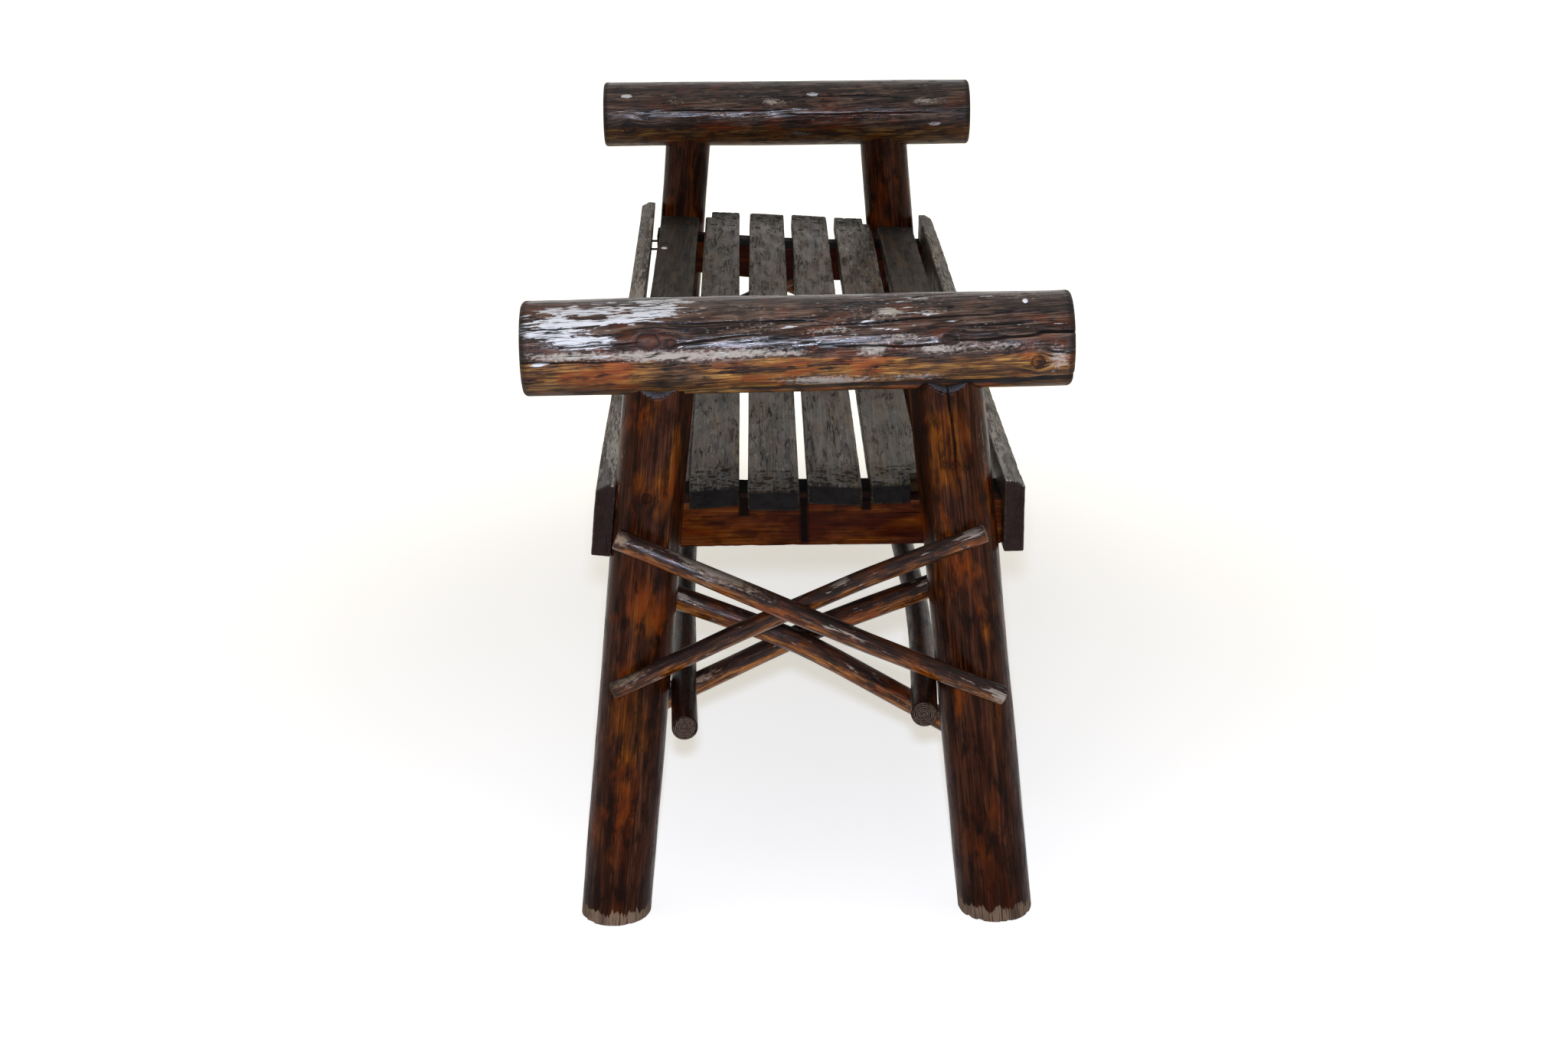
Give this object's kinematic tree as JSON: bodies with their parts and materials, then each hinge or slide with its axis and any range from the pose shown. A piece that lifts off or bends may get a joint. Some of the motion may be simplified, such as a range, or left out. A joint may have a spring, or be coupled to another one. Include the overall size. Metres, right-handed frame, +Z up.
{
  "type": "rustic log bench",
  "caption": "Backless rustic bench: splayed log legs under log arms, slatted seat between side boards, crossed rod braces and long round stretcher poles.",
  "frame": {"origin": "on the floor, under the middle of the whole bench", "axes": "+X along the bench towards its right end, +Y towards its back, +Z up"},
  "size_m": [1.45, 0.524, 0.6415],
  "materials": {
    "arm_log_wood": "weathered dark varnish, checked and flaking",
    "leg_wood": "satin red-brown varnish, worn at the feet",
    "rail_wood": "satin red-brown varnish",
    "slat_wood": "matte weathered dark stain",
    "board_wood": "matte weathered dark stain",
    "brace_wood": "glossy dark varnish over peeled rods",
    "pole_wood": "satin dark varnish",
    "nail_steel": "dark, stained over"
  },
  "bodies": {
    "root": {"arm_log_left": "arm_log_wood", "arm_log_right": "arm_log_wood", "inner_brace_left_a": "brace_wood", "inner_brace_left_b": "brace_wood", "inner_brace_nails": "nail_steel", "inner_brace_right_a": "brace_wood", "inner_brace_right_b": "brace_wood", "leg_back_left": "leg_wood", "leg_back_right": "leg_wood", "leg_front_left": "leg_wood", "leg_front_right": "leg_wood", "outer_brace_left_a": "brace_wood", "outer_brace_left_b": "brace_wood", "outer_brace_nails": "nail_steel", "outer_brace_right_a": "brace_wood", "outer_brace_right_b": "brace_wood", "pole_nails": "nail_steel", "rail_screws": "nail_steel", "rail_washers": "nail_steel", "seat_rail_left": "rail_wood", "seat_rail_right": "rail_wood", "seat_slat_1": "slat_wood", "seat_slat_2": "slat_wood", "seat_slat_3": "slat_wood", "seat_slat_4": "slat_wood", "short_slat_back": "slat_wood", "short_slat_front": "slat_wood", "side_board_back": "board_wood", "side_board_front": "board_wood", "side_board_nails": "nail_steel", "slat_nails": "nail_steel", "stretcher_pole_back": "pole_wood", "stretcher_pole_front": "pole_wood"}
  },
  "joints": []
}
